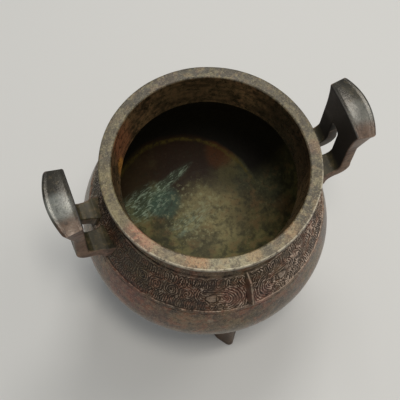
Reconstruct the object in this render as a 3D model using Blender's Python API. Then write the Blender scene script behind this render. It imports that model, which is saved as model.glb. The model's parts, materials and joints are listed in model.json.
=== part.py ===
"""A bronze ding: a round vessel on three ridged legs, with two bent upright handles.

Units are metres and +Z is up. The origin lies on the floor under the vessel's axis. +X points
through one handle, and -Y is the front, where one leg and one nose ridge stand. Heights on the
bowl are given as drops, measured down from the rim's flat top, and places on the frieze as
degrees off the nearest nose ridge, because the two halves of each mask mirror each other. The
front mask and the back mask meet under the handles.
"""
import math

import bmesh
import bpy
from mathutils import Vector
from mathutils.geometry import interpolate_bezier

# Flat rim: its height above the floor, the mouth inside it and its own size
RIM_HEIGHT = 0.250
MOUTH_RADIUS = 0.079
RIM_WIDTH = 0.011
RIM_THICKNESS = 0.0045
RIM_BEVEL = 0.0009

# Neck: narrows by the taper down to the throat, under which the belly opens out
NECK_TAPER = 0.0059
THROAT_DROP = 0.0299
NECK_DROP = 0.022
NECK_WALL = 0.0045

# Belly: widest ring, the clear height under its lowest point, and its wall
BELLY_RADIUS = 0.1103
BELLY_DROP = 0.105
UNDERSIDE_HEIGHT = 0.065
SHOULDER_PULL = 0.0218
WALL = 0.0045

# Legs: three, set in from the widest ring, each waisted over a hoof-like foot. The section is a
# round of the radius given, set back from the leg's middle, that runs out to a rounded ridge.
LEG_INSET = 0.0313
FOOT_RADIUS = 0.0120
LEG_WAIST_RADIUS = 0.0080
LEG_TOP_RADIUS = 0.0130
LEG_SET_BACK = 0.0045
LEG_RIDGE = 0.0126
LEG_RIDGE_RADIUS = 0.0045
FOOT_BEVEL = 0.0006

# Handles: an upright that flares to its top, on two arms that bend in to the shoulder. Both
# shifts are towards the back, so the front arm is the wider.
HANDLE_RISE = 0.020
HANDLE_CLEARANCE = 0.0022
HANDLE_THICKNESS = 0.0095
HANDLE_HALF_WIDTH = 0.0228
HANDLE_SHIFT = 0.0012
HANDLE_BOW = 0.0006
FLARE_HEIGHT = 0.034
FLARE_DEPTH = 0.0065
FLARE_WIDTH = 0.0037
FLARE_CORNER = 0.0020
TOP_BOW = 0.0065
ARM_DROP = 0.058
ARM_SLOPE = 0.30
ARM_BEND_RADIUS = 0.0125
ARM_CORNER = 0.0020
LOOP_HALF_WIDTH = 0.0054
LOOP_SHIFT = 0.0028
LOOP_APEX_DROP = 0.0135

# Frieze: three rows of raised lines, then a fillet, each a gap below the last
FRIEZE_DROP = 0.0350
QUILL_LENGTH = 0.0088
FACE_LENGTH = 0.0118
FEATHER_LENGTH = 0.0088
ROW_GAP = 0.0022
FILLET_WIDTH = 0.0032
FILLET_RAISE = 0.0008
RELIEF = 0.0011
RELIEF_SINK = 0.0012
QUILL_PITCH = 3.6
QUILL_WIDTH = 0.0024
LINE_WIDTH = 0.0014

# Nose ridge: a thin fin down the middle of each mask
NOSE_HEIGHT = 0.0088
NOSE_BASE_WIDTH = 0.0050
NOSE_CREST_WIDTH = 0.0022

# Places on half a mask, in degrees off its nose
MASK_HALF = 90.0
FIRST_QUILL = 7.6
FIRST_FEATHER = 22.0
SCROLL_BACK = 5.0
SCROLL_REACH = 6.6
EYE_START = 14.5
EYE_END = 23.5
MEANDERS = (31.0, 39.5, 48.0, 56.5, 65.0, 73.5, 82.0)
MEANDER_HALF = 3.1
MEANDER_STEP = 1.7

# One mask faces the front and one the back, and the legs stand a third of a turn apart
NOSE_AZIMUTHS = (-90.0, 90.0)
LEG_AZIMUTHS = (-90.0, 30.0, 150.0)

# Facets around the bowl, and around a leg
BOWL_SIDES = 48
LEG_SIDES = 14

BRONZE_COLOUR = (0.115, 0.098, 0.078, 1.0)
BRONZE_ROUGHNESS = 0.5
BRONZE_METALLIC = 0.85

# Sizes that follow from those above
RIM_RADIUS = MOUTH_RADIUS + RIM_WIDTH
THROAT_RADIUS = MOUTH_RADIUS - NECK_TAPER
NECK_RADIUS = MOUTH_RADIUS - NECK_TAPER * NECK_DROP / THROAT_DROP + NECK_WALL
BOWL_HEIGHT = RIM_HEIGHT - UNDERSIDE_HEIGHT - BELLY_DROP
LEG_CIRCLE_RADIUS = BELLY_RADIUS - LEG_INSET
UPRIGHT_INNER_RADIUS = BELLY_RADIUS + HANDLE_CLEARANCE
FACE_DROP = FRIEZE_DROP + QUILL_LENGTH + ROW_GAP
FEATHER_DROP = FACE_DROP + FACE_LENGTH + ROW_GAP
FILLET_DROP = FEATHER_DROP + FEATHER_LENGTH + ROW_GAP


def shoulder_points():
    """Radius and drop down the shoulder: a curve that leaves the neck and meets the belly plumb."""
    neck = Vector((NECK_RADIUS, NECK_DROP))
    widest = Vector((BELLY_RADIUS, BELLY_DROP))
    pull = Vector((BELLY_RADIUS, BELLY_DROP - SHOULDER_PULL))
    return interpolate_bezier(neck, neck, pull, widest, 64)


SHOULDER = shoulder_points()


def shoulder_radius(drop):
    """Outer radius of the bowl at a drop between the neck and the widest ring."""
    for upper, lower in zip(SHOULDER, SHOULDER[1:]):
        if drop <= lower[1]:
            share = (drop - upper[1]) / (lower[1] - upper[1])
            return upper[0] + share * (lower[0] - upper[0])
    return BELLY_RADIUS


def shoulder_normal(drop):
    """Outward direction of the shoulder as radius and height parts of length one."""
    step = 0.001
    widening = (shoulder_radius(drop + step) - shoulder_radius(drop - step)) / (2 * step)
    return Vector((1.0, widening)).normalized()


def underside_height(radius):
    """Height above the floor of the lower bowl's outside at a radius from the axis."""
    reach = min(radius / BELLY_RADIUS, 1.0)
    return RIM_HEIGHT - BELLY_DROP - BOWL_HEIGHT * math.sqrt(1.0 - reach * reach)


def bowl_curve(radius, height, count):
    """Radius and drop of the rounded lower bowl, from below the widest ring to the axis."""
    points = []
    for index in range(1, count + 1):
        angle = 0.5 * math.pi * index / count
        points.append((radius * math.cos(angle), BELLY_DROP + height * math.sin(angle)))
    return points


def outer_profile():
    """Radius and drop down the outside, from the rim's middle to the axis underneath."""
    overhang = RIM_RADIUS - NECK_RADIUS
    points = [
        (0.0, 0.0),
        (RIM_RADIUS - RIM_BEVEL, 0.0),
        (RIM_RADIUS, RIM_BEVEL),
        (RIM_RADIUS, RIM_THICKNESS),
        (NECK_RADIUS + 0.35 * overhang, RIM_THICKNESS + 0.1 * overhang),
        (NECK_RADIUS + 0.08 * overhang, RIM_THICKNESS + 0.5 * overhang),
        (NECK_RADIUS, NECK_DROP),
    ]
    edge = 0.0004
    for row in (FRIEZE_DROP, FACE_DROP, FILLET_DROP):
        drop = row - 0.5 * ROW_GAP
        points.append((shoulder_radius(drop), drop))
    points.append((shoulder_radius(FILLET_DROP) + FILLET_RAISE, FILLET_DROP))
    below = FILLET_DROP + FILLET_WIDTH
    points.append((shoulder_radius(below) + FILLET_RAISE, below))
    for share in (0.0, 0.3, 0.65, 1.0):
        drop = below + edge + share * (BELLY_DROP - below - edge)
        points.append((shoulder_radius(drop), drop))
    return points + bowl_curve(BELLY_RADIUS, BOWL_HEIGHT, 8)


def cavity_profile():
    """Radius and drop down the inside, from above the mouth to the axis at the bottom.

    The neck narrows to the throat, under which the wall runs parallel to the shoulder outside.
    """
    above = RIM_THICKNESS
    points = [
        (0.0, -above),
        (MOUTH_RADIUS + RIM_BEVEL, -above),
        (MOUTH_RADIUS + RIM_BEVEL, 0.0),
        (MOUTH_RADIUS, RIM_BEVEL),
        (THROAT_RADIUS, THROAT_DROP),
    ]
    for share in (0.12, 0.45, 0.8):
        drop = THROAT_DROP + share * (BELLY_DROP - THROAT_DROP)
        normal = shoulder_normal(drop)
        points.append((shoulder_radius(drop) - WALL * normal.x, drop + WALL * normal.y))
    points.append((BELLY_RADIUS - WALL, BELLY_DROP))
    return points + bowl_curve(BELLY_RADIUS - WALL, BOWL_HEIGHT - WALL, 6)


def add_object(name, bm, material=None):
    """Turns a bmesh into a linked object, with its faces outward and its round parts smooth."""
    bmesh.ops.recalc_face_normals(bm, faces=bm.faces)
    mesh = bpy.data.meshes.new(name)
    bm.to_mesh(mesh)
    bm.free()
    mesh.shade_smooth()
    mesh.set_sharp_from_angle(angle=math.radians(32))
    obj = bpy.data.objects.new(name, mesh)
    bpy.context.scene.collection.objects.link(obj)
    if material is not None:
        mesh.materials.append(material)
    return obj


def add_guide(name, bm):
    """Links a shape that is only joined to or cut from the vessel, so it isn't shown itself."""
    obj = add_object(name, bm)
    obj.hide_render = True
    obj.display_type = "WIRE"
    return obj


def turned(profile, sides):
    """A closed body turned around the Z axis from radius and drop points that end on the axis."""
    bm = bmesh.new()
    points = [bm.verts.new((radius, 0.0, RIM_HEIGHT - drop)) for radius, drop in profile]
    edges = [bm.edges.new(pair) for pair in zip(points, points[1:])]
    bmesh.ops.spin(bm, geom=points + edges, cent=(0, 0, 0), axis=(0, 0, 1),
                   angle=2 * math.pi, steps=sides)
    bmesh.ops.remove_doubles(bm, verts=bm.verts, dist=1e-6)
    return bm


def bridge_rings(bm, rings):
    """Skins closed rings of equally many points in order and caps the first and last."""
    rows = [[bm.verts.new(point) for point in ring] for ring in rings]
    for near, far in zip(rows, rows[1:]):
        for index in range(len(near)):
            following = (index + 1) % len(near)
            bm.faces.new((near[index], near[following], far[following], far[index]))
    bm.faces.new(reversed(rows[0]))
    bm.faces.new(rows[-1])


def leg_levels():
    """Height and radius up a leg, from its flat foot to a top that lies inside the bowl."""
    top = underside_height(LEG_CIRCLE_RADIUS + LEG_RIDGE + LEG_TOP_RADIUS - FOOT_RADIUS) + WALL
    levels = [(0.0, FOOT_RADIUS - FOOT_BEVEL), (FOOT_BEVEL, FOOT_RADIUS)]
    for share in (0.08, 0.2, 0.4, 0.65, 0.85, 1.0):
        ends = FOOT_RADIUS + share * (LEG_TOP_RADIUS - FOOT_RADIUS)
        waist = math.sin(math.pi * share) ** 0.7
        levels.append((share * top, ends + waist * (LEG_WAIST_RADIUS - ends)))
    return levels


def leg_section(radius):
    """Outward and sideways reach round a leg of a radius, drawn in proportion to the foot.

    The round back and the small round of the ridge share two tangents, so each point is found
    from the direction that the surface faces there.
    """
    scale = radius / FOOT_RADIUS
    ridge_middle = LEG_RIDGE - LEG_RIDGE_RADIUS
    taper = (FOOT_RADIUS - LEG_RIDGE_RADIUS) / (ridge_middle + LEG_SET_BACK)
    ring = []
    for side in range(LEG_SIDES):
        facing = 2 * math.pi * side / LEG_SIDES
        on_ridge = math.cos(facing) > taper
        middle = ridge_middle if on_ridge else -LEG_SET_BACK
        reach = LEG_RIDGE_RADIUS if on_ridge else FOOT_RADIUS
        ring.append(scale * Vector((middle + reach * math.cos(facing), reach * math.sin(facing))))
    return ring


def leg_body():
    """The three legs beside the vessel's axis, with their ridges outwards."""
    bm = bmesh.new()
    for azimuth in LEG_AZIMUTHS:
        turn = math.radians(azimuth)
        outward = Vector((math.cos(turn), math.sin(turn)))
        sideways = outward.orthogonal()
        rings = []
        for height, radius in leg_levels():
            ring = []
            for reach in leg_section(radius):
                spot = outward * (LEG_CIRCLE_RADIUS + reach.x) + sideways * reach.y
                ring.append(Vector((spot.x, spot.y, height)))
            rings.append(ring)
        bridge_rings(bm, rings)
    return bm


def handle_section(inner, along, thickness, half_width, bow, head=0.0):
    """Points of one cross-section: flat towards the bowl, and bowed by bow on the outer face.

    inner is the middle of the inner face, and along points up the handle. Both are pairs of
    radius and height. head is 0 up to the flare and 1 at the top.
    """
    outward = Vector((along.y, -along.x))
    middle = HANDLE_SHIFT * (1.0 - head)
    outer_half = half_width + FLARE_CORNER * head
    ring = []
    for side in (-1.0, 1.0):
        ring.append(Vector((inner.x, middle + side * half_width, inner.y)))
    for share in (1.0, 0.85, 0.5, 0.0, -0.5, -0.85, -1.0):
        outer = inner + outward * (thickness + bow * (1.0 - share * share))
        ring.append(Vector((outer.x, middle + share * outer_half, outer.y)))
    return ring


def arm_sections():
    """Cross-sections from inside the bowl's wall out along the arms and round the bend."""
    lean = math.atan(ARM_SLOPE)
    along = Vector((math.cos(lean), math.sin(lean)))
    outward = Vector((along.y, -along.x))
    wall_point = Vector((shoulder_radius(ARM_DROP), RIM_HEIGHT - ARM_DROP))
    middle_bend = ARM_BEND_RADIUS - 0.5 * HANDLE_THICKNESS
    centre = Vector((UPRIGHT_INNER_RADIUS - middle_bend, 0.0))
    start = centre.x + ARM_BEND_RADIUS * outward.x
    centre.y = wall_point.y + (start - wall_point.x) * ARM_SLOPE - ARM_BEND_RADIUS * outward.y
    corner = HANDLE_HALF_WIDTH + HANDLE_SHIFT
    corner_radius = math.sqrt((wall_point.x - WALL) ** 2 - corner ** 2)
    root = wall_point + along * ((corner_radius - wall_point.x) / along.x)
    rings = [handle_section(root - outward * 0.5 * HANDLE_THICKNESS, along, HANDLE_THICKNESS,
                            HANDLE_HALF_WIDTH, HANDLE_BOW)]
    for share in (0.0, 0.25, 0.5, 0.75, 1.0):
        turn = (share - 1.0) * (0.5 * math.pi - lean)
        spoke = Vector((math.cos(turn), math.sin(turn)))
        upward = Vector((-spoke.y, spoke.x))
        thickness = HANDLE_THICKNESS + ARM_CORNER * math.sin(math.pi * share)
        rings.append(handle_section(centre + spoke * middle_bend, upward, thickness,
                                    HANDLE_HALF_WIDTH, HANDLE_BOW))
    return rings


def upright_sections():
    """Cross-sections of the flared head, whose top is deepest in its middle."""
    rings = []
    for share in (0.0, 0.3, 0.65, 1.0):
        thickness = HANDLE_THICKNESS + FLARE_DEPTH * (1.0 - (1.0 - share) ** 2)
        half_width = HANDLE_HALF_WIDTH + FLARE_WIDTH * share ** 1.7
        bow = HANDLE_BOW + (TOP_BOW - HANDLE_BOW) * share ** 1.5
        height = RIM_HEIGHT + HANDLE_RISE - FLARE_HEIGHT * (1.0 - share)
        rings.append(handle_section(Vector((UPRIGHT_INNER_RADIUS, height)), Vector((0.0, 1.0)),
                                    thickness, half_width, bow, share))
    return rings


def handle_body():
    """Both handles, which mirror each other about the plane through the front leg."""
    bm = bmesh.new()
    for side in (1.0, -1.0):
        rings = []
        for ring in arm_sections() + upright_sections():
            rings.append([Vector((side * point.x, point.y, point.z)) for point in ring])
        bridge_rings(bm, rings)
    return bm


def loop_cutter():
    """The round-headed opening through both handles, open below between each pair of arms."""
    bm = bmesh.new()
    arch_height = RIM_HEIGHT - LOOP_APEX_DROP - LOOP_HALF_WIDTH
    bottom = RIM_HEIGHT - ARM_DROP - 2 * HANDLE_THICKNESS - ARM_BEND_RADIUS
    outline = [(LOOP_SHIFT - LOOP_HALF_WIDTH, bottom), (LOOP_SHIFT + LOOP_HALF_WIDTH, bottom)]
    for step in range(9):
        turn = math.pi * step / 8
        outline.append((LOOP_SHIFT + LOOP_HALF_WIDTH * math.cos(turn),
                        arch_height + LOOP_HALF_WIDTH * math.sin(turn)))
    reach = UPRIGHT_INNER_RADIUS + 2 * (HANDLE_THICKNESS + FLARE_DEPTH + TOP_BOW)
    bridge_rings(bm, [[Vector((x, y, height)) for y, height in outline] for x in (-reach, reach)])
    return bm


def on_shoulder(azimuth, drop, raised):
    """The place at an azimuth in degrees and a drop, raised off the shoulder along its normal."""
    normal = shoulder_normal(drop)
    radius = shoulder_radius(drop) + raised * normal.x
    turn = math.radians(azimuth)
    height = RIM_HEIGHT - drop + raised * normal.y
    return Vector((radius * math.cos(turn), radius * math.sin(turn), height))


def across_path(points, index):
    """Sideways direction at a point of a path, lengthened at corners to keep the line's width."""
    before = points[max(index - 1, 0)]
    here = points[index]
    after = points[min(index + 1, len(points) - 1)]
    if before == here or after == here:
        return (after - before).normalized().orthogonal()
    leaving = (after - here).normalized()
    halfway = ((here - before).normalized() + leaving).normalized()
    return halfway.orthogonal() / max(halfway.dot(leaving), 0.5)


def add_ribbon(bm, half, path, width, crest=None, heights=None):
    """A raised line on half a mask along path, which lists degrees off the nose and drops.

    half is the nose's azimuth and the side to mirror to. crest is the width of the line's flat
    top, which is otherwise two thirds of its foot, and heights gives its rise at each point.
    """
    nose, side = half
    crest = crest or 0.66 * width
    heights = heights or [RELIEF] * len(path)
    points = []
    for degrees, drop in path:
        points.append(Vector((math.radians(degrees) * shoulder_radius(drop), drop)))
    rings = []
    for index, point in enumerate(points):
        across = across_path(points, index)
        corners = [(-0.5 * width, -RELIEF_SINK), (0.5 * width, -RELIEF_SINK),
                   (0.5 * crest, heights[index]), (-0.5 * crest, heights[index])]
        ring = []
        for reach, raised in corners:
            spot = point + across * reach
            degrees = math.degrees(spot.x / shoulder_radius(spot.y))
            ring.append(on_shoulder(nose + side * degrees, spot.y, raised))
        rings.append(ring)
    bridge_rings(bm, rings)


def add_nose(bm, nose):
    """The fin between a mask's two halves, which rises from nothing under the neck and runs out
    above the fillet."""
    top = FRIEZE_DROP - ROW_GAP
    end = FILLET_DROP
    path = []
    heights = []
    for share, rise in ((0.0, 0.02), (0.16, 0.85), (0.4, 1.0), (0.7, 1.0), (0.85, 0.66), (1.0, 0.04)):
        path.append((0.0, top + share * (end - top)))
        heights.append(rise * NOSE_HEIGHT)
    add_ribbon(bm, (nose, 1.0), path, NOSE_BASE_WIDTH, NOSE_CREST_WIDTH, heights)


def add_quills(bm, half):
    """The upper row of upright quills and the lower row of feathers, both leaning a little."""
    lean = 0.5
    for index in range(int((MASK_HALF - FIRST_QUILL) / QUILL_PITCH)):
        degrees = FIRST_QUILL + index * QUILL_PITCH
        top = (degrees - lean, FRIEZE_DROP)
        end = (degrees + lean, FRIEZE_DROP + QUILL_LENGTH)
        add_ribbon(bm, half, [top, end], QUILL_WIDTH)
        if degrees > FIRST_FEATHER:
            top = (degrees - lean, FEATHER_DROP)
            end = (degrees + lean, FEATHER_DROP + FEATHER_LENGTH)
            add_ribbon(bm, half, [top, end], QUILL_WIDTH)


def add_jaw_scroll(bm, half):
    """Two nested C-shaped ribs beside the nose, from the forehead to the jaw."""
    end_drop = FEATHER_DROP + FEATHER_LENGTH
    middle_drop = 0.5 * (FACE_DROP + end_drop)
    hub = SCROLL_BACK + SCROLL_REACH
    for share in (1.0, 0.6):
        path = []
        for step in range(7):
            turn = math.radians(-105 + 35 * step)
            path.append((hub - share * SCROLL_REACH * math.cos(turn),
                         middle_drop + share * 0.5 * (end_drop - FACE_DROP) * math.sin(turn)))
        add_ribbon(bm, half, path, LINE_WIDTH * 1.3)


def add_eye(bm, half):
    """The long raised eye under its straight brow."""
    brow = FACE_DROP + 0.5 * LINE_WIDTH
    add_ribbon(bm, half, [(EYE_START - 1.0, brow), (EYE_END + 1.0, brow)], LINE_WIDTH * 1.3)
    middle = FACE_DROP + 0.68 * FACE_LENGTH
    corner = 2.0
    path = [(EYE_START, middle), (EYE_START + corner, middle), (EYE_END - corner, middle),
            (EYE_END, middle)]
    heights = [0.4 * RELIEF, 2 * RELIEF, 2 * RELIEF, 0.4 * RELIEF]
    add_ribbon(bm, half, path, 0.5 * FACE_LENGTH, 0.3 * FACE_LENGTH, heights)


def add_meander(bm, half, middle):
    """A square spiral of one line, wound inwards around middle degrees off the nose."""
    left = middle - MEANDER_HALF
    right = middle + MEANDER_HALF
    top = FACE_DROP + 0.5 * LINE_WIDTH
    end = FACE_DROP + FACE_LENGTH - 0.5 * LINE_WIDTH
    row = (end - top) / 4
    path = [
        (right, end),
        (right, top),
        (left, top),
        (left, end),
        (right - MEANDER_STEP, end),
        (right - MEANDER_STEP, top + row * 1.6),
        (left + MEANDER_STEP, top + row * 1.6),
    ]
    add_ribbon(bm, half, path, LINE_WIDTH)


def frieze_body():
    """All raised lines of the two masks, each mask with two mirrored halves."""
    bm = bmesh.new()
    for nose in NOSE_AZIMUTHS:
        add_nose(bm, nose)
        for side in (1.0, -1.0):
            half = (nose, side)
            add_quills(bm, half)
            add_jaw_scroll(bm, half)
            add_eye(bm, half)
            for middle in MEANDERS:
                add_meander(bm, half, middle)
    return bm


def bronze_material():
    """Dark grey-brown bronze with a dull patina."""
    material = bpy.data.materials.new("bronze")
    material.use_nodes = True
    shader = material.node_tree.nodes["Principled BSDF"]
    shader.inputs["Base Color"].default_value = BRONZE_COLOUR
    shader.inputs["Roughness"].default_value = BRONZE_ROUGHNESS
    shader.inputs["Metallic"].default_value = BRONZE_METALLIC
    return material


def combine(obj, guide, operation):
    """Adds an exact Boolean step to an object."""
    step = obj.modifiers.new(guide.name, "BOOLEAN")
    step.operation = operation
    step.solver = "EXACT"
    step.use_self = True
    step.object = guide


def build_vessel():
    """The vessel, cast in one: the turned form joined by its parts, then hollowed."""
    vessel = add_object("ding_vessel", turned(outer_profile(), BOWL_SIDES), bronze_material())
    handles = add_guide("handle_pair", handle_body())
    combine(handles, add_guide("handle_loops", loop_cutter()), "DIFFERENCE")
    combine(vessel, add_guide("frieze", frieze_body()), "UNION")
    combine(vessel, add_guide("legs", leg_body()), "UNION")
    combine(vessel, handles, "UNION")
    combine(vessel, add_guide("cavity", turned(cavity_profile(), BOWL_SIDES)), "DIFFERENCE")


for old in list(bpy.data.objects):
    bpy.data.objects.remove(old, do_unlink=True)
build_vessel()
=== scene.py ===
"""The looks of a cast bronze ding: camera, light, patina and the fine relief of its mask frieze.

Metres, +Z up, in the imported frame: the origin is on the floor under the vessel's axis, +X runs
through one handle and -Y is the front. Drops are measured down from the rim's flat top.
"""
import json
import math

import bmesh
import bpy
import numpy as np
from mathutils import Matrix, Vector


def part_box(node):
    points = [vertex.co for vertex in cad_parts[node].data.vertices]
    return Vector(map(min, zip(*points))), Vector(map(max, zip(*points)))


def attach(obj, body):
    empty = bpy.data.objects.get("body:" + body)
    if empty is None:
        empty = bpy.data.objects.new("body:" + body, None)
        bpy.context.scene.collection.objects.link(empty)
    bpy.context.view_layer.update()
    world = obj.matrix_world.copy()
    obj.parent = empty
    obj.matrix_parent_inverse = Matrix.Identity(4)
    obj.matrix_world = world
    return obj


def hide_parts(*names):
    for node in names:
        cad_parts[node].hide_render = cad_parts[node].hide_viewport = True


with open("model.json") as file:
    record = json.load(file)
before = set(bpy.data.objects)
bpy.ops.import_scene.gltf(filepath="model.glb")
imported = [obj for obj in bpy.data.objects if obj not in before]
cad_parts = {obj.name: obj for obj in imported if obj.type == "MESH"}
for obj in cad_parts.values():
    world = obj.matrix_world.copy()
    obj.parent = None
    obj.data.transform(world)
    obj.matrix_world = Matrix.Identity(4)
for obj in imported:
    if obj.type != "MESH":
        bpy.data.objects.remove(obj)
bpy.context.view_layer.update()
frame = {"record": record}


# The rim and the feet
# The vessel is one casting. Its flat rim and its feet carry the frame's mounts, and everything
# else is measured from them and from the casting's own box.

mounts = {mount["name"]: Vector(mount["pos_m"]) for mount in frame["record"]["mounts"]}
casting_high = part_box("ding_vessel")[1]
RIM_HEIGHT = mounts["rim_top"].z
BELLY_RADIUS = casting_high.y
HANDLE_REACH = casting_high.x
HANDLE_TOP = casting_high.z
LEG_CIRCLE_RADIUS = -mounts["foot_front"].y


# Viewpoint
# The vessel is looked down on steeply from in front and a little to the left, with the camera
# turned a few degrees, so the far handle stands higher in the picture than the near one.

VIEW_AZIMUTH = math.radians(-115.886)
VIEW_ELEVATION = math.radians(66.643)
VIEW_ROLL = math.radians(5.769)
VIEW_DISTANCE = 0.68328
SHIFT_RIGHT = 0.005995
SHIFT_UP = 0.029938
SENSOR_WIDTH = 36.0
FOCAL_SHARE = 2.1489


def toward(azimuth, elevation):
    """The direction of an azimuth and an elevation in radians."""
    level = math.cos(elevation)
    return Vector((math.cos(azimuth) * level, math.sin(azimuth) * level, math.sin(elevation)))


def put(name, data):
    """An object of a name with its data, in the scene."""
    made = bpy.data.objects.new(name, data)
    bpy.context.scene.collection.objects.link(made)
    return made


def place_camera():
    """Puts the camera on a sphere around the rim's centre, slides it in its own plane, rolls it."""
    back = toward(VIEW_AZIMUTH, VIEW_ELEVATION)
    right = toward(VIEW_AZIMUTH + 0.5 * math.pi, 0.0)
    up = back.cross(right)
    place = Vector((0.0, 0.0, RIM_HEIGHT)) + back * VIEW_DISTANCE
    place -= right * SHIFT_RIGHT + up * SHIFT_UP
    rolled_right = right * math.cos(VIEW_ROLL) + up * math.sin(VIEW_ROLL)
    rolled_up = up * math.cos(VIEW_ROLL) - right * math.sin(VIEW_ROLL)
    lens = bpy.data.cameras.new("viewpoint")
    lens.sensor_width = SENSOR_WIDTH
    lens.lens = SENSOR_WIDTH * FOCAL_SHARE
    camera = put("viewpoint", lens)
    turn = Matrix((rolled_right, rolled_up, back)).transposed()
    camera.matrix_world = Matrix.Translation(place) @ turn.to_4x4()
    bpy.context.scene.camera = camera


place_camera()


# Bowl
# Cast bronze about 4.5 mm thick, in one with its flat rim: a neck that narrows to the throat, an
# undercut belly inside and a round one outside. It has gone brown and grey, with red stains on the
# shoulder, a mottled olive rim and green verdigris in the belly.

MOUTH_RADIUS = 0.079
RIM_RADIUS = 0.090
RIM_THICKNESS = 0.0045
RIM_BEVEL = 0.0010
THROAT_RADIUS = 0.0731
THROAT_DROP = 0.0299
NECK_RADIUS = 0.0792
NECK_DROP = 0.022
BELLY_DROP = 0.105
SHOULDER_PULL = 0.0218
UNDERSIDE_HEIGHT = 0.065
WALL = 0.0045
BOWL_HEIGHT = RIM_HEIGHT - UNDERSIDE_HEIGHT - BELLY_DROP
BAND_TOP_DROP = 0.0322
BAND_END_DROP = 0.0752
BAND_RECESS = 0.0009
SKIN_SLACK = 0.00025
BOWL_COLUMNS = 288
BELLY_ROWS = 44
SHOULDER_ROWS = 34
THROAT_INSIDE_ROWS = 5
MOUTH_RIM_ROWS = 5
RIM_ROWS = 7


def smooth(value):
    """Eases an array from 0 to 1: cut to that range, then three squares less two cubes."""
    value = np.clip(value, 0.0, 1.0)
    return value * value * (3.0 - 2.0 * value)


def arc(centre, reach, first, last, count):
    """Points on an ellipse about a centre, with a reach each way, between two angles in degrees."""
    turn = np.radians(np.linspace(first, last, count))
    return np.stack([centre[0] + reach[0] * np.cos(turn), centre[1] + reach[1] * np.sin(turn)], -1)


def shoulder_curve():
    """Radius and drop of the outside: a cubic curve that leaves the neck and meets the belly
    plumb, then a quarter ellipse down to the axis."""
    share = np.linspace(0.0, 1.0, 400)
    rest = 1.0 - share
    start = rest ** 3 + 3 * share * rest ** 2
    pull = 3 * share ** 2 * rest
    end = share ** 3
    radius = NECK_RADIUS * start + BELLY_RADIUS * (pull + end)
    drop = NECK_DROP * start + (BELLY_DROP - SHOULDER_PULL) * pull + BELLY_DROP * end
    bottom = arc((0.0, BELLY_DROP), (BELLY_RADIUS, BOWL_HEIGHT), 0, 90, 300)[1:]
    return np.concatenate([radius, bottom[:, 0]]), np.concatenate([drop, bottom[:, 1]])


CURVE_RADIUS, CURVE_DROP = shoulder_curve()


def outside(drop):
    """Radius of the outside at an array of drops, and its normal's radius and height parts,
    from the curve's slope."""
    step = 0.0004
    radius = np.interp(drop, CURVE_DROP, CURVE_RADIUS)
    lower = np.interp(drop + step, CURVE_DROP, CURVE_RADIUS)
    upper = np.interp(drop - step, CURVE_DROP, CURVE_RADIUS)
    slope = (lower - upper) / (2 * step)
    length = np.sqrt(1.0 + slope * slope)
    return radius, 1.0 / length, slope / length


def ripple(points, size, seed, waves=14):
    """Unevenness from 0 to 1 at points: sines of random direction and phase, about size long."""
    rng = np.random.default_rng(seed)
    direction = rng.normal(size=(waves, 3))
    direction /= np.linalg.norm(direction, axis=1, keepdims=True)
    frequency = 2 * np.pi / (size * rng.uniform(0.6, 1.6, waves))
    phase = rng.uniform(0.0, 2 * np.pi, waves)
    total = np.zeros(points.shape[:-1])
    for wave in range(waves):
        total += np.sin(points @ direction[wave] * frequency[wave] + phase[wave])
    return np.clip(0.5 + total / (2.2 * np.sqrt(2.0 * waves)), 0.0, 1.0)


def piece(name, bronze, grids, masks=None, fans=()):
    """One closed mesh of a bronze, from grids of points whose edges meet. Each grid gives a quad
    for each of its cells, equal points are welded, and the faces are turned outwards. masks names
    a value for each point of each grid, and fans lists rings of points closed by one flat face."""
    faces, points = [], []
    offset = 0
    for grid in grids:
        rows, columns = grid.shape[:2]
        index = np.arange(rows * columns).reshape(rows, columns) + offset
        quads = np.stack([index[:-1, :-1], index[1:, :-1], index[1:, 1:], index[:-1, 1:]], -1)
        faces.append(quads.reshape(-1, 4))
        points.append(grid.reshape(-1, 3))
        offset += rows * columns
    for ring in fans:
        faces.append(np.arange(len(ring))[None, :] + offset)
        points.append(ring)
        offset += len(ring)
    sizes = np.concatenate([np.full(len(face), face.shape[1]) for face in faces])
    starts = np.cumsum(sizes) - sizes
    corners = np.concatenate([face.ravel() for face in faces])
    points = np.concatenate(points)
    mesh = bpy.data.meshes.new(name)
    mesh.vertices.add(len(points))
    mesh.vertices.foreach_set("co", points.ravel())
    mesh.loops.add(len(corners))
    mesh.loops.foreach_set("vertex_index", corners.astype(np.int32))
    mesh.polygons.add(len(starts))
    mesh.polygons.foreach_set("loop_start", starts.astype(np.int32))
    mesh.update(calc_edges=True)
    for mask, values in (masks or {}).items():
        values = np.concatenate([value.ravel() for value in values])
        values = np.concatenate([values, np.zeros(len(points) - len(values))])
        mesh.attributes.new(mask, "FLOAT", "POINT").data.foreach_set("value", values)
    bm = bmesh.new()
    bm.from_mesh(mesh)
    bmesh.ops.remove_doubles(bm, verts=bm.verts, dist=2e-6)
    bmesh.ops.recalc_face_normals(bm, faces=bm.faces)
    bm.to_mesh(mesh)
    bm.free()
    mesh.shade_smooth()
    mesh.set_sharp_from_angle(angle=math.radians(50))
    mesh.materials.append(bronze)
    made = put(name, mesh)
    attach(made, "root")
    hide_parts("ding_vessel")


def around(radius, drop, turns):
    """Turns a profile about the axis: its points run down the rows and the turns, in radians,
    along the columns."""
    x = radius[:, None] * np.cos(turns)
    y = radius[:, None] * np.sin(turns)
    z = np.repeat((RIM_HEIGHT - drop)[:, None], len(turns), axis=1)
    return np.stack([x, y, z], -1)


def stretch(start, end, count):
    """Points from start towards end, without the end."""
    share = np.linspace(0.0, 1.0, count, endpoint=False)[:, None]
    return np.array(start) * (1.0 - share) + np.array(end) * share


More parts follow.
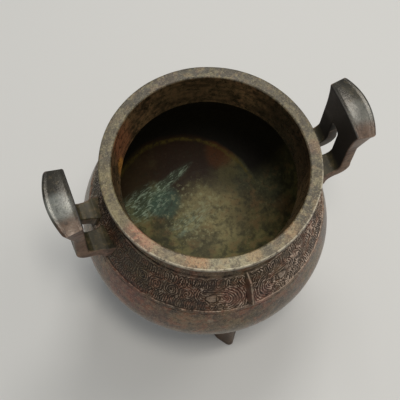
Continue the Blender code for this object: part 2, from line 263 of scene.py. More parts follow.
def inside_profile():
    """Radius and drop up the inside: a quarter ellipse, the shoulder moved in by the wall, a
    rounded throat and the neck's straight taper."""
    reach = (BELLY_RADIUS - WALL, BOWL_HEIGHT - WALL)
    belly = arc((0.0, BELLY_DROP), reach, 90, 0, BELLY_ROWS + 1)[:-1]
    drop = np.linspace(BELLY_DROP, THROAT_DROP + 0.007, SHOULDER_ROWS)
    radius, outward, upward = outside(drop)
    shoulder = np.stack([radius - WALL * outward, drop + WALL * upward], -1)
    lip = 0.0014
    throat = arc((THROAT_RADIUS + lip, THROAT_DROP), (lip, lip), 100, 190, 8)
    edge = 0.0022
    neck = stretch(throat[-1], (MOUTH_RADIUS, edge), 16)
    bevel = arc((MOUTH_RADIUS + edge, edge), (edge, edge), -170, -92, 8)
    return np.concatenate([belly, shoulder, throat, neck[1:], bevel])


def outside_profile():
    """Radius and drop down the outside: the rim's flat top and rounded edges, its underside, the
    hollow neck, then the shoulder and belly, sunk where the frieze lies."""
    flat = stretch((MOUTH_RADIUS + 0.0030, 0.0), (RIM_RADIUS - RIM_BEVEL, 0.0), RIM_ROWS)
    bevel = RIM_BEVEL
    upper_edge = arc((RIM_RADIUS - bevel, bevel), (bevel, bevel), -90, 0, RIM_ROWS)
    bevel = 0.6 * RIM_BEVEL
    lower_edge = arc((RIM_RADIUS - bevel, RIM_THICKNESS - bevel), (bevel, bevel), 0, 80, 5)
    start = RIM_RADIUS - 0.0022
    reach = (NECK_RADIUS - start, RIM_THICKNESS - NECK_DROP)
    under = arc((start, NECK_DROP + 0.0006), reach, 90, 0, 16)
    plain = np.linspace(NECK_DROP + 0.0008, BAND_TOP_DROP - 0.0008, 14)
    band = np.linspace(BAND_TOP_DROP - 0.0006, BAND_END_DROP + 0.0006, 46)
    band = np.concatenate([np.linspace(band[0], band[0] + 0.002, 8), band[3:-3],
                           np.linspace(band[-1] - 0.002, band[-1], 8)])
    belly = np.linspace(BAND_END_DROP + 0.0008, BELLY_DROP, 22)
    drop = np.concatenate([plain, np.sort(band), belly])
    radius, outward, upward = outside(drop)
    recess = BAND_RECESS * smooth((drop - BAND_TOP_DROP + 0.0005) / 0.0010)
    recess *= smooth((BAND_END_DROP + 0.0005 - drop) / 0.0010)
    shoulder = np.stack([radius - recess * outward, drop + recess * upward], -1)
    bottom = arc((0.0, BELLY_DROP), (BELLY_RADIUS, BOWL_HEIGHT), 0, 90, 64)[1:]
    return np.concatenate([flat, upper_edge, lower_edge, under, shoulder, bottom])


def make_bowl():
    """Turns the whole profile, and lets the surface sink a little where the casting is uneven.
    Masks tell the belly's inside, the neck and the rim's top from the outside, row by row."""
    inner = inside_profile()
    profile = np.concatenate([inner, outside_profile()])
    turns = np.linspace(-np.pi, np.pi, BOWL_COLUMNS + 1)
    grid = around(profile[:, 0], profile[:, 1], turns)
    normal = np.gradient(profile, axis=0)
    normal /= np.linalg.norm(normal, axis=1, keepdims=True) + 1e-9
    sink = SKIN_SLACK * ripple(grid, 0.035, 3) + 0.3 * SKIN_SLACK * ripple(grid, 0.007, 4)
    fade = smooth(profile[:, 0] / 0.02)[:, None]
    outward = np.stack([-normal[:, 1], normal[:, 0]], -1)
    radial = 1.0 + (sink * fade * outward[:, :1]) / np.maximum(profile[:, :1], 1e-3)
    grid[..., 0] *= radial
    grid[..., 1] *= radial
    grid[..., 2] -= sink * fade * outward[:, 1:]
    row = np.arange(len(profile))
    throat = BELLY_ROWS + SHOULDER_ROWS + THROAT_INSIDE_ROWS
    mouth = len(inner) - MOUTH_RIM_ROWS
    zones = {"inside": row < throat, "neck": (row >= throat) & (row < mouth),
             "rim": (row >= mouth) & (row < len(inner) + 2 * RIM_ROWS)}
    masks = {name: [np.repeat(zone[:, None].astype(float), len(turns), axis=1)]
             for name, zone in zones.items()}
    piece("bowl", patina("bowl patina", bowl_finish, 0.45), [grid], masks)


class Wire:
    """A socket of a material's nodes that can stand in plain arithmetic."""

    def __init__(self, tree, socket=None):
        self.tree = tree
        self.socket = socket

    def make(self, kind, inputs=None, output=0, **settings):
        """Adds a shader node: its settings first, then what its inputs get."""
        node = self.tree.nodes.new("ShaderNode" + kind)
        for name, value in settings.items():
            setattr(node, name, value)
        self.plug(node, inputs or {})
        return Wire(self.tree, node.outputs[output])

    def plug(self, node, inputs):
        """Gives a value or a wire to each of a node's named inputs."""
        for name, value in inputs.items():
            if isinstance(value, Wire):
                self.tree.links.new(value.socket, node.inputs[name])
            else:
                node.inputs[name].default_value = value

    def math(self, operation, *values):
        """One Math node on the values given."""
        return self.make("Math", dict(enumerate(values)), operation=operation)

    def __add__(self, other):
        return self.math("ADD", self, other)

    __radd__ = __add__

    def __mul__(self, other):
        return self.math("MULTIPLY", self, other)

    def __sub__(self, other):
        return self.math("SUBTRACT", self, other)

    def __rsub__(self, other):
        return self.math("SUBTRACT", other, self)

    def step(self, low, high):
        """0 below low, 1 above high, and an eased slope between."""
        inputs = {"Value": self, "From Min": low, "From Max": high}
        return self.make("MapRange", inputs, interpolation_type="SMOOTHSTEP")

    def mix(self, *ends):
        """A colour between two by this wire. Each of the two is a wire or a tint."""
        first, second = [end if isinstance(end, Wire) else colour(end) for end in ends]
        return self.make("Mix", {0: self, 6: first, 7: second}, 2, data_type="RGBA")

    def mask(self, name):
        """The values from 0 to 1 that the mesh holds under a name."""
        return self.make("Attribute", output=2, attribute_name=name)

    def axis(self, number):
        """One part of this wire's vector: 0 is x, 1 is y and 2 is z."""
        return self.make("SeparateXYZ", {0: self}, number)

    def length(self):
        """The length of this wire's vector."""
        return self.make("VectorMath", {0: self}, 1, operation="LENGTH")

    def mapped(self, kind="POINT", **inputs):
        """This wire's vector moved, turned and scaled."""
        return self.make("Mapping", {"Vector": self, **inputs}, vector_type=kind)


def colour(tint):
    """A linear colour from a tint, which is its 0 to 255 screen values."""
    linear = []
    for value in tint:
        share = value / 255.0
        linear.append(share / 12.92 if share <= 0.04045 else ((share + 0.055) / 1.055) ** 2.4)
    return (*linear, 1.0)


def noise(place, scale, detail, roughness, distortion=0.0):
    """A cloud of values from 0 to 1 at a place. scale counts its lumps in a metre."""
    return place.make("TexNoise", {"Vector": place, "Scale": scale, "Detail": detail,
                                   "Roughness": roughness, "Distortion": distortion})


def oval(place, centre, reach, turn):
    """1 inside an oval on the ground plan and 0 past its edge, for its centre, its two reaches and
    the turn of its long side in radians."""
    local = place.mapped("TEXTURE", Location=(*centre, 0.0), Rotation=(0.0, 0.0, turn),
                         Scale=(*reach, 10.0))
    return 1.0 - local.length().step(0.4, 1.15)


def blot(place, centre, reach, ragged, cloud):
    """1 near a centre and 0 past reach from it, with an edge that the cloud makes ragged."""
    distance = place.make("VectorMath", {0: place, 1: centre}, 1, operation="DISTANCE")
    distance = distance + (cloud - 0.5) * ragged
    return 1.0 - distance.step(0.55 * reach, 1.1 * reach)


def under_stains_and_light(surface, place, stains_and_light, ragged, cloud):
    """A surface under blots of stain and of painted light and shade, each with its place and reach
    in millimetres, its strength and its tint. ragged is a share of the reach."""
    for *centre, reach, strength, tint in stains_and_light:
        centre = [value * 0.001 for value in centre]
        spot = blot(place, centre, reach * 0.001, ragged * reach * 0.001, cloud)
        surface = (spot * strength).mix(surface, tint)
    return surface


def marked(surface, clouds, marks):
    """A surface under marks that follow a cloud: the cloud's name, its value where a mark starts
    and where it is full, the mark's strength and its tint."""
    for name, start, full, strength, tint in marks:
        cover = clouds[name].step(min(start, full), max(start, full))
        if start > full:
            cover = 1.0 - cover
        surface = (cover * strength).mix(surface, tint)
    return surface


def patina(name, paint, pitting, gloss=0.45):
    """A bronze material with pitting as a shallow bump and warm reflections as strong as gloss.
    paint gives its colour and roughness from the place on the vessel and clouds of five sizes."""
    material = bpy.data.materials.new(name)
    material.use_nodes = True
    place = Wire(material.node_tree).make("TexCoord", output=3)
    clouds = {"broad": noise(place, 14.0, 3.0, 0.55), "cloud": noise(place, 45.0, 5.0, 0.6),
              "patch": noise(place, 105.0, 4.0, 0.62), "grain": noise(place, 230.0, 6.0, 0.68),
              "speck": noise(place, 780.0, 3.0, 0.6)}
    surface, rough = paint(place, clouds)
    height = clouds["grain"] * 0.8 + clouds["speck"] * 0.45 + clouds["cloud"] * 0.8
    relief = place.make("Bump", {"Strength": pitting, "Distance": 0.0008, "Height": height})
    place.plug(material.node_tree.nodes["Principled BSDF"],
               {"Base Color": surface, "Roughness": rough, "Normal": relief, "Metallic": 0.12,
                "Specular IOR Level": gloss, "Specular Tint": (1.0, 0.92, 0.82, 1.0)})
    return material


# Azimuth in degrees, drop and reach in millimetres, strength and tint.
OUTSIDE_STAINS_AND_SHEEN = (
    (-97, 56, 15, 0.70, (150, 100, 84)),
    (-83, 66, 13, 0.60, (146, 102, 92)),
    # Painted sheen: a pale grey patch on the right of the band.
    (-55, 52, 36, 0.50, (126, 114, 106)),
    (-126, 50, 34, 0.55, (66, 50, 40)),
    (-158, 52, 26, 0.60, (84, 76, 52)),
    # Painted sheen: a grey patch at the belly's left edge.
    (156, 66, 40, 0.70, (92, 96, 84)),
    (-152, 86, 30, 0.75, (100, 50, 45)),
    (-137, 94, 22, 0.45, (88, 58, 46)),
    (-112, 98, 24, 0.40, (98, 78, 60)),
    (-95, 78, 12, 0.45, (112, 70, 62)),
    (-127, 76.5, 5.5, 0.70, (44, 34, 28)),
    (-109, 76.5, 5, 0.70, (44, 34, 28)),
    (-109, 84, 3.5, 0.55, (146, 132, 112)),
    (-70, 88, 22, 0.45, (100, 92, 80)),
)
OUTSIDE_MARKS = (
    ("patch", 0.50, 0.62, 0.50, (130, 74, 46)),
    ("patch", 0.50, 0.36, 0.60, (50, 42, 29)),
    ("grain", 0.50, 0.66, 0.45, (140, 118, 94)),
    ("grain", 0.48, 0.36, 0.60, (46, 34, 26)),
    ("speck", 0.56, 0.68, 0.50, (164, 146, 124)),
    ("speck", 0.45, 0.34, 0.60, (36, 27, 21)),
)


def outside_colour(place, clouds):
    """The outside's bronze: browns and greys in clouds, stain blots at an azimuth and a drop on the
    shoulder, two of them painted sheen, then light specks of wear and dark pits."""
    stains_and_light = []
    for azimuth, drop, *rest in OUTSIDE_STAINS_AND_SHEEN:
        radius = 1000.0 * float(outside(np.array([drop * 0.001]))[0][0])
        turn = math.radians(azimuth)
        height = 1000.0 * RIM_HEIGHT - drop
        stains_and_light.append((radius * math.cos(turn), radius * math.sin(turn), height, *rest))
    surface = clouds["cloud"].step(0.42, 0.58).mix((66, 45, 34), (112, 88, 63))
    surface = (clouds["broad"].step(0.42, 0.6) * 0.6).mix(surface, (90, 81, 48))
    surface = under_stains_and_light(surface, place, stains_and_light, 1.0, clouds["cloud"])
    return marked(surface, clouds, OUTSIDE_MARKS)


# x, y and reach in millimetres, strength and tint, and in the two tables below z too.
RIM_STAINS_AND_SHEEN = (
    # Painted sheen: a broad pale patch on the front of the rim; the other rows are stains.
    (-20, -84, 34, 0.75, (146, 138, 110)),
    (-72, -40, 17, 0.75, (158, 104, 80)),
    (-40, -73.5, 11, 0.60, (156, 106, 66)),
    (85, -14, 8, 0.35, (140, 98, 74)),
    (-8, 86, 12, 0.55, (128, 90, 76)),
    (-85, 0, 30, 0.55, (132, 120, 78)),
    (60, 60, 30, 0.50, (84, 80, 70)),
    (28, -80, 18, 0.60, (92, 86, 72)),
    (52, -68, 34, 0.80, (60, 56, 46)),
    (0, 85, 52, 0.75, (60, 60, 54)),
    (-62, -62, 22, 0.35, (140, 124, 98)),
    (3.4, -82.4, 8, 0.45, (156, 122, 80)),
    (38.8, -73.4, 9, 0.55, (150, 116, 78)),
)
BELLY_STAINS = (
    (20, 22, 74, 40, 0.70, (160, 150, 106)),
    (40, 56, 86, 24, 0.60, (56, 52, 32)),
    (-10, -22, 70, 22, 0.50, (62, 60, 42)),
    (12, 94, 104, 56, 0.97, (38, 18, 9)),
    (-46, 80, 104, 38, 0.92, (46, 29, 13)),
    (46, 72, 100, 18, 0.60, (92, 52, 20)),
    (74, 30, 98, 34, 0.75, (60, 64, 48)),
    (-22, 47, 80, 18, 0.80, (62, 92, 80)),
    (-32, 26, 76, 13, 0.60, (52, 50, 36)),
    (2, 2, 70, 16, 0.55, (66, 62, 42)),
    (56, 10, 84, 26, 0.55, (82, 72, 46)),
    (84, 0, 102, 12, 0.30, (130, 94, 56)),
)
NECK_STAINS_AND_PAINTED_LIGHT = (
    (-60, 48, 236, 20, 0.60, (146, 92, 62)),
    # Painted glint: a bright orange spot on the left of the neck.
    (-66, 34, 224, 9, 0.70, (190, 132, 60)),
    # Painted shade: a near black patch on the right of the neck.
    (72, 4, 230, 52, 0.75, (26, 20, 13)),
    (10, 76, 236, 44, 0.45, (38, 32, 20)),
)
# Centre and radius of the circle past which the far side of the belly's inside is painted near
# black as shade.
SHADOW_CIRCLE_CENTRE = (-0.006, 0.022)
SHADOW_EDGE_RADIUS = 0.0745
STREAK_TURN = 0.34
VERDIGRIS = (
    ((-0.040, 0.051), (0.032, 0.0150), 0.75),
    ((-0.012, 0.066), (0.030, 0.0050), 0.60),
    ((-0.002, 0.025), (0.028, 0.0120), 0.35),
)
RIM_MARKS = (
    ("patch", 0.50, 0.64, 0.50, (122, 100, 72)),
    ("patch", 0.50, 0.38, 0.60, (66, 58, 40)),
    ("grain", 0.50, 0.62, 0.42, (150, 138, 104)),
    ("grain", 0.50, 0.40, 0.55, (48, 40, 28)),
    ("speck", 0.56, 0.68, 0.42, (170, 156, 122)),
    ("speck", 0.46, 0.34, 0.60, (38, 30, 22)),
)


def rim_colour(place, clouds):
    """The rim: mottled olive with pink and orange stain blots and a broad painted sheen in front,
    painted darker and greyer on the far side as shade, and a pale painted highlight round its outer
    edge in front."""
    grain = clouds["grain"]
    stains_and_light = [(x, y, 1000.0 * RIM_HEIGHT, *rest) for x, y, *rest in RIM_STAINS_AND_SHEEN]
    top = clouds["cloud"].step(0.4, 0.6).mix((70, 66, 51), (98, 91, 70))
    top = under_stains_and_light(top, place, stains_and_light, 1.2, grain)
    top = marked(top, clouds, RIM_MARKS)
    # Painted shade: the far side of the rim is painted darker and greyer.
    far = place.axis(1).step(-0.06, 0.01)
    top = (far * 0.24).mix(top, (38, 37, 33))
    # Painted highlight: a pale line along the outer edge's bevel, on the front half only.
    reach = place.mapped(Scale=(1.0, 1.0, 0.0)).length()
    edge = reach.step(RIM_RADIUS - 0.0016, RIM_RADIUS - 0.0007) * grain.step(0.35, 0.55)
    return (edge * (1.0 - far) * 0.75).mix(top, (196, 186, 164))


def neck_colour(place, clouds):
    """The neck's inside: brown with pink and dark stain blots, an orange painted glint on the left,
    near black painted shade on the right, dark rings and pits.
    """
    rings = noise(place.mapped(Scale=(0.4, 0.4, 2.2)), 150.0, 5.0, 0.65)
    wall = clouds["cloud"].step(0.4, 0.6).mix((56, 44, 28), (96, 76, 50))
    wall = marked(wall, clouds, [("grain", 0.48, 0.62, 0.50, (134, 100, 68))])
    wall = under_stains_and_light(wall, place, NECK_STAINS_AND_PAINTED_LIGHT, 1.0, clouds["patch"])
    return marked(wall, {"rings": rings, **clouds}, (("rings", 0.52, 0.40, 0.55, (26, 20, 13)),
                                                     ("grain", 0.48, 0.36, 0.60, (24, 18, 12))))


def belly_colour(place, clouds):
    """The belly's inside: olive with patches and stain blots, verdigris streaks in three ovals and
    a pale crust. On the far side, near black painted shade past a circle, with a gold-brown line
    painted at its edge as the shade's lit edge."""
    cloud, grain = clouds["cloud"], clouds["grain"]
    far = place.axis(1).step(0.028, 0.050)
    floor = cloud.step(0.4, 0.6).mix((76, 73, 42), (112, 107, 66))
    floor = marked(floor, clouds, (("patch", 0.50, 0.62, 0.30, (132, 118, 76)),
                                   ("patch", 0.50, 0.38, 0.40, (50, 52, 34))))
    floor = under_stains_and_light(floor, place, BELLY_STAINS, 0.9, cloud)
    floor = marked(floor, clouds, (("patch", 0.50, 0.64, 0.4 - far * 0.4, (122, 92, 58)),
                                   ("patch", 0.50, 0.36, 0.55 - far * 0.55, (50, 50, 34))))
    streaks = place.mapped("TEXTURE", Rotation=(0.0, 0.0, STREAK_TURN), Scale=(3.4, 0.8, 3.0))
    streaks = noise(streaks, 330.0, 6.0, 0.66, 1.0)
    for centre, reach, strength in VERDIGRIS:
        green = oval(place, centre, reach, STREAK_TURN) * strength
        floor = (green * 0.5).mix(floor, (84, 113, 92))
        floor = (green * streaks.step(0.47, 0.62)).mix(floor, (186, 208, 180))
    crust = blot(place, (0.004, 0.030, 0.074), 0.036, 0.03, cloud) * grain.step(0.52, 0.64)
    floor = (crust * 0.55).mix(floor, (176, 178, 138))
    floor = marked(floor, clouds, (("grain", 0.54, 0.70, 0.28 - far * 0.24, (160, 152, 110)),
                                   ("grain", 0.48, 0.36, 0.50, (40, 37, 24))))
    # Painted shade: near black past the circle on the far side, with a gold-brown line at its edge
    # painted as the shade's lit edge.
    level = place.mapped(Location=(-SHADOW_CIRCLE_CENTRE[0], -SHADOW_CIRCLE_CENTRE[1], 0.0), Scale=(1.0, 1.0, 0.0))
    reach = level.length() + (cloud - 0.5) * 0.004
    painted_lit_edge = reach.step(SHADOW_EDGE_RADIUS - 0.0020, SHADOW_EDGE_RADIUS)
    painted_lit_edge = painted_lit_edge * (1.0 - reach.step(SHADOW_EDGE_RADIUS + 0.0003, SHADOW_EDGE_RADIUS + 0.0020)) * far
    floor = (painted_lit_edge * grain.step(0.35, 0.6) * 0.8).mix(floor, (92, 80, 30))
    painted_shade = reach.step(SHADOW_EDGE_RADIUS + 0.0010, SHADOW_EDGE_RADIUS + 0.0040)
    return (painted_shade * far).mix(floor, (9, 8, 6))


def bowl_finish(place, clouds):
    """The outside's bronze, under the belly's, the neck's and the rim's own colours."""
    inside, neck, rim = [place.mask(name) for name in ("inside", "neck", "rim")]
    surface = inside.mix(outside_colour(place, clouds), belly_colour(place, clouds))
    surface = neck.mix(surface, neck_colour(place, clouds))
    surface = rim.mix(surface, rim_colour(place, clouds))
    return surface, 0.16 + clouds["grain"] * 0.26 + inside * 0.3 + rim * 0.12


make_bowl()


# Frieze
# A band cast with the shoulder: two masks of raised lines, which meet under the handles. Each has
# a thin nose ridge, hooked quills, a face with jaw scrolls, eye and spirals, and a row of feathers.
# Earth fills the ground between its lines. The band is four closed skins of a quarter turn each.

NOSE_AZIMUTHS = (-90.0, 90.0)
FRIEZES = {"frieze_front": -90.0, "frieze_right": 0.0, "frieze_back": 90.0, "frieze_left": 180.0}
FRIEZE_COLUMNS = 560
FRIEZE_ROWS = 150
NOSE_CROWDING = 1.3
BACK_SINK = 0.0024

# The ornament's own sizes: drops, heights and reaches in millimetres, places along the band in
# degrees from the nose.
BAND_RADIUS = 93.0
DEGREE = math.radians(1.0) * BAND_RADIUS
GROUND = 0.50
RIB = 1.25
RIB_WIDTH = 0.98
RIB_SOFTNESS = 0.24
FILL_PITCH = 1.85
FILL_REACH = 4.6
FAR = 9.0
PLAIN_END = 34.2
FIELD_TOP = 34.6
EDGE_SINK = 1.4
FILLET_TOP = 71.0
FILLET_END = 74.2
FILLET_HEIGHT = 0.75
LINE_DEPTH = 0.25
ROW_COUNT = 32
QUILL_START = 10.6
QUILL_STEP = 2.5
QUILL_TOP = 36.0
QUILL_FOOT = 44.3
NOSE_HOOKS = ((9.0, 38.4), (7.6, 39.4), (6.1, 40.2), (4.4, 39.8))
FEATHER_START = 22.6
FEATHER_STEP = 2.12
FEATHER_TOP = 60.0
FEATHER_FOOT = 69.5
JAW_AT = (12.0, 57.6)
JAW_REACHES = ((8.7, 14.6), (7.3, 12.2), (5.9, 9.8), (4.5, 7.4), (3.1, 5.0))
SPIRAL_COUNT = 7
SPIRAL_START = 31.6
SPIRAL_STEP = 8.1
SPIRAL_LEVEL = 52.2
SPIRAL_HALF = 5.3
SPIRAL_PITCH = 2.05
EYE = ((18.4, 55.6), (5.2, 3.9))
EYE_HEIGHT = 1.9
SLIT = ((16.6, 55.8), (0.7, 2.9))
NOSTRIL = ((3.6 / DEGREE, 67.6), (2.6, 2.3))
NOSTRIL_HEIGHT = 1.4
NOSE_TOP = 32.4
NOSE_END = 71.0
NOSE_HEIGHT = 8.7
NOSE_BASE = 2.6
NOSE_CREST = 1.05
WORN_AZIMUTH = -157.0
WORN_REACH = 15.0


def line_path(*points):
    """A path through points given in degrees from the nose and millimetres down."""
    return np.array(points) * (DEGREE, 1.0)


def soften(path):
    """Rounds a path's corners in two rounds: each keeps the points at a quarter and three quarters
    of every straight part, and both ends."""
    for _ in range(2):
        near = 0.75 * path[:-1] + 0.25 * path[1:]
        far = 0.25 * path[:-1] + 0.75 * path[1:]
        middle = np.stack([near, far], 1).reshape(-1, 2)
        path = np.concatenate([path[:1], middle, path[-1:]])
    return path


def quill_paths(rng):
    """The upper row: narrow arches, each with one long leg that curls back at its foot, to the
    left and to the right by turns. Near the nose four nested hooks point away from it instead."""
    paths = []
    for step in range(ROW_COUNT):
        middle = (QUILL_START + QUILL_STEP * step) * DEGREE + rng.uniform(-0.25, 0.25)
        top = QUILL_TOP + rng.uniform(-0.3, 0.4)
        foot = QUILL_FOOT + rng.uniform(-0.4, 0.3)
        lean = rng.uniform(-0.3, 0.5)
        hand = 1.0 if step % 2 == 0 else -1.0
        bend = arc((0.0, top + 1.4), (1.0, 1.4), -180, 0, 7)
        curl = arc((0.15, foot - 1.1), (0.9, 1.1), 0, 190, 7)
        path = np.concatenate([[[-1.0, top + 4.8]], bend, curl])
        path[:, 0] = middle + hand * path[:, 0] + lean * (path[:, 1] - 40.0) / 4.0
        paths.append(path)
    for tip, drop in NOSE_HOOKS:
        hook = np.array([[-2.6, -2.8], [0.0, 0.0], [-2.0, 2.9], [-3.4, 5.8]])
        paths.append(soften(hook + [tip * DEGREE, drop]))
    return paths


def feather_paths(rng):
    """Feathers of the lower row: slanted stems that hook back at their lower ends."""
    paths = []
    for step in range(ROW_COUNT):
        middle = (FEATHER_START + FEATHER_STEP * step) * DEGREE + rng.uniform(-0.25, 0.25)
        top = FEATHER_TOP + rng.uniform(-0.4, 0.4)
        foot = FEATHER_FOOT + rng.uniform(-0.5, 0.3)
        bend = arc((middle + 0.25, foot - 1.4), (0.85, 1.3), 0, 180, 7)
        stem = [[middle - 0.5, top], [middle + 0.6, top + 3.0], [middle + 1.1, top + 5.8]]
        barb = [[middle - 0.75, foot - 3.8], [middle - 1.5, foot - 7.4]]
        paths.append(np.concatenate([stem, bend, barb]))
    return paths


def spiral_path(middle, flip):
    """A rounded square spiral wound inwards round a place, its lines one pitch apart."""
    reach_x = reach_y = SPIRAL_HALF
    points = [(reach_x, reach_y)]
    while reach_x > 0.0:
        points.append((reach_x, -reach_y))
        points.append((-reach_x, -reach_y))
        points.append((-reach_x, reach_y))
        reach_x -= SPIRAL_PITCH
        if reach_x > 0.0:
            points.append((reach_x, reach_y))
        reach_y -= SPIRAL_PITCH
    path = np.array(points)
    path[:, 1] *= flip
    return soften(path + [middle, SPIRAL_LEVEL])


def face_paths(rng):
    """The face's lines: nested jaw scrolls closed towards the nose with their tails, the brow over
    the eye, curls and short bars under it, a bar behind it, the spirals and the last bar."""
    paths = []
    for reach in JAW_REACHES:
        x, y = JAW_AT[0] * DEGREE, JAW_AT[1]
        span = reach[0] * DEGREE
        paths.append(arc((x, y), (span, reach[1]), -104, -238, 26))
        tail = (x - 0.2 * span, y + 0.34 * reach[1])
        paths.append(arc(tail, (0.72 * span, 0.62 * reach[1]), 170, 70, 10))
    for drop in (47.6, 50.2):
        paths.append(line_path((11.4, drop + 1.2), (13.6, drop), (23.2, drop)))
    for x, y, reach, first, last, count in ((14.8, 65.2, (2.5, 2.6), -70, 220, 12),
                                            (14.8, 65.2, (0.9, 1.0), 0, 300, 8),
                                            (11.4, 67.4, (1.5, 2.2), 170, 20, 8),
                                            (18.6, 66.0, (1.2, 3.2), 180, 20, 8)):
        paths.append(arc((x * DEGREE, y), reach, first, last, count))
    for drop in (64.6, 66.8, 69.0):
        paths.append(line_path((20.0, drop), (22.0, drop)))
    paths.append(soften(line_path((25.6, 46.6), (27.0, 49.0), (27.2, 55.0), (25.8, 58.4))))
    for step in range(SPIRAL_COUNT):
        middle = (SPIRAL_START + SPIRAL_STEP * step) * DEGREE + rng.uniform(-0.3, 0.3)
        paths.append(spiral_path(middle, 1.0 if step % 2 == 0 else -1.0))
    paths.append(line_path((86.6, 46.8), (86.9, 57.6)))
    return paths


def line_distance(along, down, path):
    """Distance of every point to a path: the least over its straight parts, each from the point's
    foot on the part, cut to the part's ends."""
    nearest = np.full(along.shape, FAR)
    for (x0, y0), (x1, y1) in zip(path, path[1:]):
        dx, dy = x1 - x0, y1 - y0
        share = ((along - x0) * dx + (down - y0) * dy) / (dx * dx + dy * dy + 1e-12)
        share = np.clip(share, 0.0, 1.0)
        nearest = np.minimum(nearest, np.hypot(along - x0 - share * dx, down - y0 - share * dy))
    return nearest


def nearest_line(azimuth, along, down):
    """Distance to the nearest rib: a path, or a line beside it at a whole number of pitches, which
    fills the ground between the figures. Each half of each mask has paths of its own, a little
    unlike the others."""
    nearest = np.full(along.shape, FAR)
    for mask, nose in enumerate(NOSE_AZIMUTHS):
        for side in (1.0, -1.0):
            off = side * ((azimuth - nose + 180.0) % 360.0 - 180.0)
            own = (off >= -0.001) & (off <= 90.001)
            rng = np.random.default_rng(int(7 + 2 * mask + side))
            for path in quill_paths(rng) + feather_paths(rng) + face_paths(rng):
                reach = (path[:, 0].min() - FILL_REACH, path[:, 0].max() + FILL_REACH)
                columns = np.where(own & (off * DEGREE > reach[0]) & (off * DEGREE < reach[1]))[0]
                if len(columns):
                    part = line_distance(along[:, columns], down[:, columns], path)
                    nearest[:, columns] = np.minimum(nearest[:, columns], part)
    return np.abs(nearest - FILL_PITCH * np.round(nearest / FILL_PITCH))


def oval_reach(along, down, at, reach):
    """How far points lie from an oval's middle: 1 on its edge. Its place is in degrees along."""
    return np.hypot((along - at[0] * DEGREE) / reach[0], (down - at[1]) / reach[1])


def dome(share):
    """A half ball's height over its reach: the root of one less the squared share."""
    return np.sqrt(np.clip(1.0 - share ** 2, 0.0, 1.0))


def line_at(down, drop, spread):
    """A line round the band at a drop: a bell curve of its spread."""
    return np.exp(-((down - drop) / spread) ** 2)


def ornament(azimuth, drop):
    """Height in millimetres over the shoulder, and how deep in the ground a point lies, for the
    azimuths of a grid's columns and the drops of its rows: ribs with soft edges along every path,
    the eye's dome with its slit, the lower fillet, and the nose as a steep-sided fin."""
    off = np.abs((azimuth[None, :] + 180.0) % 180.0 - 90.0) + 0.0 * drop[:, None]
    level = drop[:, None] + 0.0 * off
    off = np.minimum(off, 90.0)
    turn = np.radians(azimuth)[None, :] + 0.0 * level
    where = np.stack([BAND_RADIUS * np.cos(turn), BAND_RADIUS * np.sin(turn), level], -1)
    from_nose = off * DEGREE
    along = from_nose + 1.3 * (ripple(where, 9.0, 20) - 0.5) + 0.7 * (ripple(where, 3.2, 25) - 0.5)
    down = level + 1.0 * (ripple(where, 11.0, 21) - 0.5) + 0.7 * (ripple(where, 3.2, 26) - 0.5)

    nearest = nearest_line(azimuth, along, down)
    width = RIB_WIDTH * (0.85 + 0.3 * ripple(where, 6.0, 22))
    rib = smooth((0.5 * width + RIB_SOFTNESS - nearest) / (2 * RIB_SOFTNESS))
    past = (azimuth[None, :] - WORN_AZIMUTH + 180.0) % 360.0 - 180.0
    blurred = np.exp(-(past / WORN_REACH) ** 4)
    wear = (0.6 + 0.4 * smooth(1.9 * ripple(where, 22.0, 23) - 0.25)) * (1.0 - 0.55 * blurred)
    wear *= 0.5 + 0.5 * smooth(2.4 * ripple(where, 5.0, 27) - 0.6)
    field = smooth((down - FIELD_TOP) / 0.5) * smooth((FILLET_TOP - 0.5 - down) / 0.5)
    height = field * (RIB * rib * wear - GROUND * (1.0 - 0.5 * blurred))
    groove = field * (1.0 - rib * (0.25 + 0.75 * wear))

    ball = oval_reach(along, down, *EYE)
    slit = smooth((oval_reach(along, down, *SLIT) - 0.7) / 0.5)
    eye = EYE_HEIGHT * dome(ball) * (0.5 + 0.5 * slit) - GROUND
    height = np.where(ball < 1.2, eye, height)
    groove = np.where(ball < 1.2, 1.0 - 0.75 * smooth(1.6 * dome(ball)) * slit, groove)

    fillet = smooth((down - FILLET_TOP) / 0.45) * smooth((FILLET_END - down) / 0.45)
    lines = line_at(down, 70.6, 0.35) + line_at(down, 74.7, 0.3)
    lines += line_at(down, 32.9, 0.5) * smooth(3.0 * ripple(where, 18.0, 24) - 1.0)
    plain = 0.42 * (1.0 - smooth((down - PLAIN_END) / 0.6))
    height = height + FILLET_HEIGHT * fillet - LINE_DEPTH * lines
    groove = np.clip(groove + 0.4 * fillet + 0.7 * lines + plain, 0.0, 1.0)

    height += NOSTRIL_HEIGHT * dome(oval_reach(from_nose, level, *NOSTRIL))
    rise = smooth((level - NOSE_TOP) / 7.0) * smooth((NOSE_END - level) / 9.5)
    flank = np.clip((NOSE_BASE - from_nose) / (NOSE_BASE - NOSE_CREST), 0.0, 1.0)
    fin = NOSE_HEIGHT * rise * (flank - 0.12 * flank * (1.0 - flank))
    height = np.maximum(height, fin - 0.3)
    on_fin = smooth(fin / 0.6)
    # On the fin the second value is a painted highlight, not ground: low along the fin's top, so a
    # light line runs down its middle, with darker flanks.
    crest_highlight = 0.26 + 0.44 * smooth((from_nose - 0.4) / 0.35)
    return height, groove * (1.0 - on_fin) + on_fin * crest_highlight


def column_azimuths(middle):
    """Azimuths of a quarter band's columns, closer together on the nose ridge's steep flanks."""
    spacing = np.linspace(-45.0, 45.0, 4001)
    off_nose = (middle + spacing + 180.0) % 180.0 - 90.0
    density = 1.0 + NOSE_CROWDING * np.exp(-(off_nose / 2.2) ** 4)
    share = np.concatenate([[0.0], np.cumsum(0.5 * (density[1:] + density[:-1]))])
    return middle + np.interp(np.linspace(0.0, share[-1], FRIEZE_COLUMNS + 1), share, spacing)


